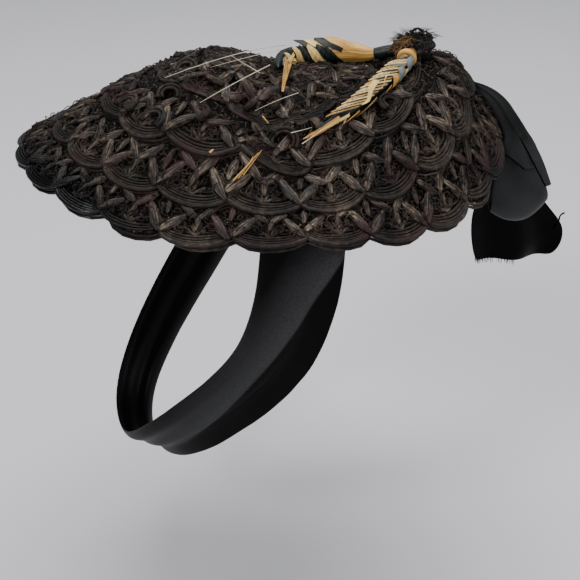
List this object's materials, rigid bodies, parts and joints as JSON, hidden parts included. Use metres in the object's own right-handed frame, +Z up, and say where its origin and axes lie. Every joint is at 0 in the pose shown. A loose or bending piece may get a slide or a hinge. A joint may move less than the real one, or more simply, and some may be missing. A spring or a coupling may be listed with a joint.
{
  "type": "bonnet",
  "caption": "Flat oval bonnet of lapped, scalloped braid rows, trimmed with straw wheat ears, a braid knot and a rear ribbon bow, with a ribbon loop that holds it under the chin.",
  "frame": {"origin": "the top of the head inside the crown, where the bonnet sits", "axes": "+X to the wearer's left, -Y to the front, +Z up"},
  "size_m": [0.1729, 0.2647, 0.2214],
  "materials": {
    "braid": "openwork braid of dark brown-black viscose cord, dull with worn brown edges",
    "cord": "twisted black-brown edging cord, slightly glossy",
    "straw": "split and plaited straw, cream and dyed green, satin",
    "ribbon": "black silk ribbon, soft satin sheen"
  },
  "bodies": {
    "root": {"crown": "braid", "second_row": "braid", "rim_row": "braid", "rim_cord": "cord", "peak_knot": "braid", "wheat_ear_near": "straw", "wheat_ear_far": "straw", "bow_knot": "ribbon", "bow_top_loop": "ribbon", "bow_middle_loop": "ribbon", "bow_round_loop": "ribbon", "bow_tail": "ribbon", "chin_ribbon": "ribbon"}
  },
  "joints": []
}
